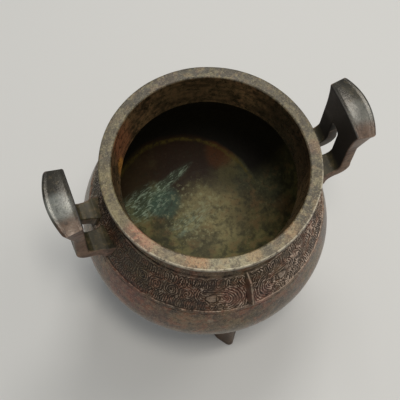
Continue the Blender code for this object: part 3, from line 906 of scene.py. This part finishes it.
def make_frieze(name, middle, bronze):
    """A quarter of the band as a skin with a back: the ornament raised off the shoulder along its
    normal, its upper and lower edges sunk into grooves of the bowl, and a plain back."""
    azimuth = column_azimuths(middle)
    drops = np.linspace(BAND_TOP_DROP, BAND_END_DROP, FRIEZE_ROWS + 1)
    height, groove = ornament(azimuth, drops * 1000.0)
    edge = 2.0 - smooth((drops - drops[0]) / 0.001) - smooth((drops[-1] - drops) / 0.001)
    height = (height - EDGE_SINK * edge[:, None]) * 0.001
    radius, outward, upward = outside(drops)
    turn = np.radians(azimuth)[None, :]
    reach = radius[:, None] + height * outward[:, None]
    front = np.stack([reach * np.cos(turn), reach * np.sin(turn),
                      RIM_HEIGHT - drops[:, None] + height * upward[:, None]], -1)
    ends = [0, -1]
    back_radius = radius[ends] - BACK_SINK * outward[ends]
    back_drop = drops[ends] + BACK_SINK * upward[ends]
    back = around(back_radius, back_drop, turn[0])
    top = np.stack([front[0], back[0]])
    bottom = np.stack([front[-1], back[-1]])
    sides = [np.concatenate([front[:, side], back[::-1, side]]) for side in (0, -1)]
    strips = [top, bottom, back]
    masks = [groove] + [np.ones(strip.shape[:2]) for strip in strips]
    piece(name, bronze, [front] + strips, {"hollow": masks}, sides)


def frieze_finish(place, clouds):
    """The outside's bronze, with earth in the ground between the ribs, and the ribs lighter, partly
    worn and partly a painted highlight, and more so on the right, where painted light also makes
    the ground less dark."""
    grain, hollow = clouds["grain"], place.mask("hollow")
    # Painted light: right rises towards +x, where the ribs are painted lighter and the ground less
    # dark.
    right = place.axis(0).step(-0.08, 0.04)
    rub_and_highlight = grain.step(0.4, 0.54) * (1.0 - right * 0.45) + right * 0.45
    rub_and_highlight = rub_and_highlight * (1.0 - hollow.step(0.0, 0.5))
    surface = (rub_and_highlight * (right * 0.62 + 0.26)).mix(outside_colour(place, clouds), (206, 182, 162))
    surface = (hollow.step(0.2, 0.9) * (0.82 - right * 0.4)).mix(surface, (40, 27, 20))
    pit = hollow.step(0.6, 1.0) * (1.0 - grain.step(0.4, 0.52))
    surface = (pit * 0.8).mix(surface, (18, 12, 9))
    return surface, 0.18 + grain * 0.2 + hollow * 0.36


frieze_bronze = patina("frieze patina", frieze_finish, 0.35)
for name, middle in FRIEZES.items():
    make_frieze(name, middle, frieze_bronze)


# Handles
# Two bronze handles, cast with the shoulder, on short arms that bend up into an upright with a
# round-headed opening. The head flares outwards, is deepest and highest in the middle, and is
# near black with a pale painted highlight on its top. The inner faces carry black painted shade,
# and the narrow sides a lighter brown that is partly painted light.

HANDLE_THICKNESS = 0.0095
HANDLE_HALF_WIDTH = 0.0228
HANDLE_SHIFT = 0.0012
HANDLE_BOW = 0.0006
FLARE_HEIGHT = 0.034
FLARE_DEPTH = 0.0065
FLARE_WIDTH = 0.0037
FLARE_CORNER = 0.0020
ARM_DROP = 0.058
ARM_SLOPE = 0.30
ARM_BEND_RADIUS = 0.0125
ARM_CORNER = 0.0020
ARM_FILLET = 0.0022
LOOP_HALF_WIDTH = 0.0054
LOOP_SHIFT = 0.0028
LOOP_APEX_DROP = 0.0135
HANDLE_ROUNDING = 0.0012
HEAD_ROUNDING = 0.0014
HEAD_CROWN = 0.0030
CROWN_HEIGHT = 0.012
FILLET_FADE = 0.0028
ARM_ROWS = 30
BEND_ROWS = 24
ARCH_ROWS = 22
HEAD_ROWS = 60
FACE_COLUMNS = 34
LID_ROWS = 13
LID_DIP = 0.0005
FLANK_REACH = 0.0016
# How far the outer edge, the opening's wall, the root and the lid count as narrow sides, whose
# lighter brown is partly painted light.
STRIP_FLANKS = (1.0, 0.7, 0.0, 0.0)
INNER_FACE = BELLY_RADIUS + 0.0022
TOP_BOW = HANDLE_REACH - INNER_FACE - HANDLE_THICKNESS - FLARE_DEPTH
ARCH_HEIGHT = RIM_HEIGHT - LOOP_APEX_DROP - LOOP_HALF_WIDTH


def handle_spine():
    """Rows up a handle: the inner face's radius and height, its outward direction, how far round
    the bend each row is, and its fillet, which dies away from the bowl's wall. A straight arm, an
    arc, then a plumb line to the top."""
    lean = math.atan(ARM_SLOPE)
    along = np.array([math.cos(lean), math.sin(lean)])
    outward = np.array([along[1], -along[0]])
    wall_radius = float(outside(np.array([ARM_DROP]))[0][0])
    inner_bend = ARM_BEND_RADIUS - 0.5 * HANDLE_THICKNESS
    centre_x = INNER_FACE - inner_bend
    start_x = centre_x + ARM_BEND_RADIUS * outward[0]
    centre_y = RIM_HEIGHT - ARM_DROP + (start_x - wall_radius) * ARM_SLOPE
    centre_y -= ARM_BEND_RADIUS * outward[1]
    centre = np.array([centre_x, centre_y])
    bend_start = centre + inner_bend * outward
    root_x = math.sqrt((wall_radius - WALL) ** 2 - (HANDLE_HALF_WIDTH + HANDLE_SHIFT) ** 2)
    arm_length = (start_x - root_x) / along[0]
    steps = np.linspace(0.0, 1.0, ARM_ROWS, endpoint=False)[:, None]
    arm = bend_start - along * arm_length * (1.0 - steps)
    arm_out = np.repeat(outward[None, :], len(arm), axis=0)
    turn = np.linspace(lean - 0.5 * np.pi, 0.0, BEND_ROWS)
    spoke = np.stack([np.cos(turn), np.sin(turn)], -1)
    bend = centre + inner_bend * spoke
    arch = ARCH_HEIGHT + LOOP_HALF_WIDTH * np.sin(np.linspace(0.0, 0.5 * np.pi, ARCH_ROWS))
    lower = np.linspace(centre_y, ARCH_HEIGHT, 24)[1:-1]
    near_top = 0.5 - 0.5 * np.cos(np.linspace(0.0, np.pi, HEAD_ROWS))
    upper = arch[-1] + (HANDLE_TOP - arch[-1]) * near_top[1:]
    heights = np.concatenate([lower, arch, upper])
    upright = np.stack([np.full(len(heights), INNER_FACE), heights], -1)
    upright_out = np.repeat([[1.0, 0.0]], len(heights), axis=0)
    spine = np.concatenate([arm, bend, upright])
    out = np.concatenate([arm_out, spoke, upright_out])
    share = np.concatenate([np.zeros(ARM_ROWS), np.linspace(0.0, 1.0, BEND_ROWS),
                            np.ones(len(heights))])
    clear = np.clip(spine[:, 0] - wall_radius - 0.001, 0.0, None)
    fillet = ARM_FILLET * np.exp(-clear / FILLET_FADE) * (share < 0.001)
    return spine, out, share[:, None], fillet[:, None]


def make_handle(name, side, bronze):
    """A slab round its spine, in two halves that meet over the opening: each row of a face runs
    from the opening's edge to the outer edge, eased back by a quarter round near any edge, and
    walls join the two faces. The head's top falls away to both ends by a parabola. side is 1 for
    the right handle and -1 for the left, its mirror image."""
    spine, out, bend_share, fillet = handle_spine()
    height = spine[:, 1:]
    head = np.clip((height - (HANDLE_TOP - FLARE_HEIGHT)) / FLARE_HEIGHT, 0.0, 1.0)
    thickness = HANDLE_THICKNESS + FLARE_DEPTH * (1.0 - (1.0 - head) ** 2)
    thickness = thickness + ARM_CORNER * np.sin(np.pi * bend_share)
    half_width = HANDLE_HALF_WIDTH + FLARE_WIDTH * head ** 1.7 + fillet
    bow = HANDLE_BOW + (TOP_BOW - HANDLE_BOW) * head ** 1.5
    middle = HANDLE_SHIFT * (1.0 - head)
    in_arch = (bend_share >= 1.0) & (height > ARCH_HEIGHT)
    climbed = np.where(in_arch, height - ARCH_HEIGHT, 0.0)
    to_top = np.where(in_arch, HANDLE_TOP - height, 1.0)
    slot = np.sqrt(np.maximum(LOOP_HALF_WIDTH ** 2 - climbed ** 2, 0.0))
    slot = np.where(slot < 1e-6, 0.0, slot) - fillet
    closed = in_arch & (height > ARCH_HEIGHT + LOOP_HALF_WIDTH - 1e-9)
    across = 0.5 - 0.5 * np.cos(np.linspace(0.0, np.pi, FACE_COLUMNS))
    crown = smooth((height - HANDLE_TOP + CROWN_HEIGHT) / CROWN_HEIGHT)
    grids, inner, flank = [], [], []
    for hand in (1.0, -1.0):
        sheets = {}
        for face, widening in (("inner", 0.0), ("outer", FLARE_CORNER)):
            start = LOOP_SHIFT + hand * slot
            end = middle + hand * (half_width + widening * head)
            y = start + (end - start) * across
            from_slot = np.abs(y - LOOP_SHIFT)
            to_slot = np.hypot(from_slot, climbed) - (LOOP_HALF_WIDTH - fillet)
            rounding = HANDLE_ROUNDING + (HEAD_ROUNDING if widening else 0.0) * head
            to_edge = np.minimum(np.abs(end - y), to_slot)
            to_edge = np.clip(np.minimum(to_edge, to_top), 0.0, rounding)
            easing = rounding - np.sqrt(rounding ** 2 - (rounding - to_edge) ** 2)
            off = (y - middle) / (half_width + widening * head)
            if widening:
                reach = thickness + bow * (1.0 - off ** 2) - easing + fillet
            else:
                reach = easing - fillet
            x = spine[:, :1] + out[:, :1] * reach
            z = height + out[:, 1:] * reach - HEAD_CROWN * crown * off ** 2
            sheets[face] = np.stack([side * x, y, z], -1)
            # The inner sheet is marked for the black painted shade, more of it up the upright.
            upright = smooth((bend_share - 0.3) / 0.6) + 0.0 * y
            inner.append(0.0 * y if widening else upright)
            flank.append(1.0 - smooth(np.abs(end - y) / FLANK_REACH))
        rim_edge = np.stack([sheets["inner"][:, -1], sheets["outer"][:, -1]])
        last = np.where(~closed)[0][-1] + 2
        slot_wall = np.stack([sheets["inner"][:last, 0], sheets["outer"][:last, 0]])
        root = np.stack([sheets["inner"][0], sheets["outer"][0]])
        layers = np.linspace(0.0, 1.0, LID_ROWS)[:, None, None]
        lid = sheets["inner"][-1] * (1.0 - layers) + sheets["outer"][-1] * layers
        lid[1:-1, :, 2] += LID_DIP * (np.sin(np.pi * layers[1:-1, :, 0]) - 1.0)
        grids += [sheets["inner"], sheets["outer"], rim_edge, slot_wall, root, lid]
        inner += [0.0 * strip[..., 0] for strip in grids[-4:]]
        flank += [0.0 * strip[..., 0] + share for strip, share in zip(grids[-4:], STRIP_FLANKS)]
    piece(name, bronze, grids, {"inner": inner, "flank": flank})


def handle_finish(place, clouds):
    """Near black on the heads with a pale painted highlight on each top, black painted shade on the
    inner faces, brown on the narrow sides, lightened by painted light, and olive brown towards the
    arms."""
    cloud, grain = clouds["cloud"], clouds["grain"]
    inner, flank = place.mask("inner"), place.mask("flank")
    arms = cloud.step(0.4, 0.6).mix((34, 34, 20), (60, 55, 33))
    arms = marked(arms, clouds, [("grain", 0.50, 0.64, 0.45, (114, 96, 66))])
    head = cloud.step(0.4, 0.62).mix((36, 35, 30), (52, 50, 41))
    head = marked(head, clouds, [("grain", 0.52, 0.66, 0.35, (92, 82, 60))])
    for x in (0.122, -0.122):
        worn = blot(place, (x, -0.026, 0.262), 0.016, 0.02, grain)
        head = (worn * 0.55).mix(head, (104, 78, 62))
    # Painted highlight: a pale grey spot in the middle of each head's top.
    for x, y, strength in ((-0.1250, -0.0040, 0.44), (0.1250, -0.0060, 0.20)):
        painted_highlight = blot(place, (x, y, 0.2680), 0.013, 0.010, grain)
        head = (painted_highlight * strength).mix(head, (150, 154, 148))
    upper = (place.axis(2) + (cloud - 0.5) * 0.03).step(0.222, 0.240)
    side = cloud.step(0.4, 0.6).mix((104, 80, 66), (136, 110, 90))
    side = marked(side, clouds, [("grain", 0.48, 0.62, 0.40, (150, 112, 96))])
    # The narrow sides' lighter brown is partly their own tone and partly painted light.
    surface = (flank * 0.85).mix(upper.mix(arms, head), side)
    # Painted shade: the inner faces near black.
    surface = (inner * (1.0 - flank) * 0.95).mix(surface, (13, 12, 11))
    surface = marked(surface, clouds, (("grain", 0.48, 0.36, 0.55, (30, 25, 20)),
                                       ("speck", 0.45, 0.34, 0.50, (26, 22, 18))))
    return surface, 0.44 - upper * 0.25 + grain * 0.14 + flank * 0.15 + inner * 0.3


handle_bronze = patina("handle patina", handle_finish, 0.2, 0.62)
make_handle("handle_right", 1.0, handle_bronze)
make_handle("handle_left", -1.0, handle_bronze)


# Legs
# Three solid legs of bronze, waisted over hoof-like flat feet, with a ridge that faces away from
# the bowl. They were cast with it, so each runs out into it in a small fillet. Their skin is a
# darker brown.

LEG_AZIMUTHS = {"leg_front": -90.0, "leg_right": 30.0, "leg_left": 150.0}
FOOT_RADIUS = 0.0120
LEG_WAIST_RADIUS = 0.0080
LEG_TOP_RADIUS = 0.0130
LEG_SET_BACK = 0.0045
LEG_RIDGE = 0.0126
LEG_RIDGE_RADIUS = 0.0045
LEG_FILLET = 0.0040
LEG_COLUMNS = 96
LEG_ROWS = 80
LEG_FILLET_FADE = 0.0035
LEG_BURY = 0.0012
FOOT_ROUNDING = 0.0009


def leg_section():
    """Outward and sideways reach round the foot, and the way the surface faces there: a large
    round behind and a small one for the ridge with their two shared tangents, in equal steps."""
    ridge_middle = LEG_RIDGE - LEG_RIDGE_RADIUS
    taper = (FOOT_RADIUS - LEG_RIDGE_RADIUS) / (ridge_middle + LEG_SET_BACK)
    facing = np.linspace(0.0, 2 * np.pi, 1201)
    on_ridge = np.cos(facing) > taper
    middle = np.where(on_ridge, ridge_middle, -LEG_SET_BACK)
    reach = np.where(on_ridge, LEG_RIDGE_RADIUS, FOOT_RADIUS)
    ring = np.stack([middle + reach * np.cos(facing), reach * np.sin(facing), facing], -1)
    steps = np.linalg.norm(np.diff(ring[:, :2], axis=0), axis=1)
    length = np.concatenate([[0.0], np.cumsum(steps)])
    even = np.linspace(0.0, length[-1], LEG_COLUMNS + 1)
    return [np.interp(even, length, ring[:, column]) for column in range(3)]


def make_leg(name, azimuth, bronze):
    """A leg: the foot's section scaled by a straight taper less a waist, plus a fillet that dies
    away below the bowl. Each point's height is a share of the bowl's underside above it."""
    forward, sideways, facing = leg_section()
    share = np.linspace(0.0, 1.0, LEG_ROWS)[:, None]
    taper = FOOT_RADIUS + share * (LEG_TOP_RADIUS - FOOT_RADIUS)
    waist = np.clip(np.sin(np.pi * share), 0.0, 1.0) ** 0.7
    scale = (taper + waist * (LEG_WAIST_RADIUS - taper)) / FOOT_RADIUS
    turn = math.radians(azimuth)
    swell = np.zeros((LEG_ROWS, LEG_COLUMNS + 1))
    for _ in range(3):
        ahead = LEG_CIRCLE_RADIUS + scale * forward + swell * np.cos(facing)
        beside = scale * sideways + swell * np.sin(facing)
        reach = np.clip(np.hypot(ahead, beside) / BELLY_RADIUS, 0.0, 1.0)
        roof = RIM_HEIGHT - BELLY_DROP - BOWL_HEIGHT * np.sqrt(1.0 - reach * reach) + LEG_BURY
        swell = LEG_FILLET * np.exp(-roof * (1.0 - share) / LEG_FILLET_FADE)
        low = np.clip(FOOT_ROUNDING - roof * share, 0.0, FOOT_ROUNDING)
        swell = swell - FOOT_ROUNDING + np.sqrt(FOOT_ROUNDING ** 2 - low ** 2)
    x = ahead * math.cos(turn) - beside * math.sin(turn)
    y = ahead * math.sin(turn) + beside * math.cos(turn)
    side = np.stack([x, y, roof * share], -1)
    inwards = np.linspace(1.0, 0.0, 6)[:, None, None]
    hub = np.array([LEG_CIRCLE_RADIUS * math.cos(turn), LEG_CIRCLE_RADIUS * math.sin(turn), 0.0])
    sole = hub + (side[0] - hub) * inwards
    roof_hub = hub + np.array([0.0, 0.0, float(side[-1, :, 2].mean())])
    cap = roof_hub + (side[-1] - roof_hub) * inwards
    piece(name, bronze, [side, sole, cap])


def leg_finish(place, clouds):
    """The outside's bronze under a darker brown skin."""
    grain = clouds["grain"]
    dark = clouds["patch"].step(0.3, 0.7).mix((56, 38, 27), (84, 64, 48))
    surface = (1.0 - grain.step(0.3, 0.9) * 0.6).mix(outside_colour(place, clouds), dark)
    return surface, 0.3 + grain * 0.26


leg_bronze = patina("leg patina", leg_finish, 0.35, 0.35)
for name, azimuth in LEG_AZIMUTHS.items():
    make_leg(name, azimuth, leg_bronze)


# Floor and light
# The vessel stands on a plain pale surface. Soft light comes from above, and a larger share of it
# from the right and in front, so its shadow lies softly to the left.

FLOOR_HALF = 2.5
LIGHT_AIM = Vector((0.0, 0.0, 0.15))


def make_floor():
    """A flat square under the feet, pale grey."""
    span = np.linspace(-FLOOR_HALF, FLOOR_HALF, 3)
    x, y = np.meshgrid(span, span)
    points = np.stack([x, y, 0.0 * x], -1).reshape(-1, 3)
    faces = [(0, 1, 4, 3), (1, 2, 5, 4), (3, 4, 7, 6), (4, 5, 8, 7)]
    mesh = bpy.data.meshes.new("floor")
    mesh.from_pydata(points.tolist(), [], faces)
    material = bpy.data.materials.new("pale floor")
    material.use_nodes = True
    shader = material.node_tree.nodes["Principled BSDF"]
    shader.inputs["Base Color"].default_value = colour((212, 211, 207))
    shader.inputs["Roughness"].default_value = 0.8
    mesh.materials.append(material)
    put("floor", mesh)


def soft_light(name, direction, distance, size, power, tint):
    """A square light of a size in metres that faces the vessel from an azimuth and elevation."""
    away = toward(*map(math.radians, direction))
    lamp = bpy.data.lights.new(name, "AREA")
    lamp.size = size
    lamp.energy = power
    lamp.color = tint
    light = put(name, lamp)
    light.rotation_euler = (-away).to_track_quat("-Z", "Y").to_euler()
    light.location = LIGHT_AIM + away * distance


def set_sky(tint, strength):
    """Even light from all round."""
    world = bpy.data.worlds.new("studio")
    world.use_nodes = True
    background = world.node_tree.nodes["Background"]
    background.inputs["Color"].default_value = tint
    background.inputs["Strength"].default_value = strength
    bpy.context.scene.world = world


make_floor()
soft_light("overhead", (62.0, 66.0), 1.6, 0.5, 8.4, (1.0, 0.99, 0.97))
soft_light("front", (-98.0, 78.0), 2.0, 0.35, 13.5, (1.0, 0.96, 0.90))
soft_light("side", (4.0, 48.0), 1.5, 0.5, 3.6, (1.0, 0.96, 0.92))
set_sky((0.92, 0.96, 1.0, 1.0), 0.32)
bpy.context.scene.view_settings.view_transform = "Standard"
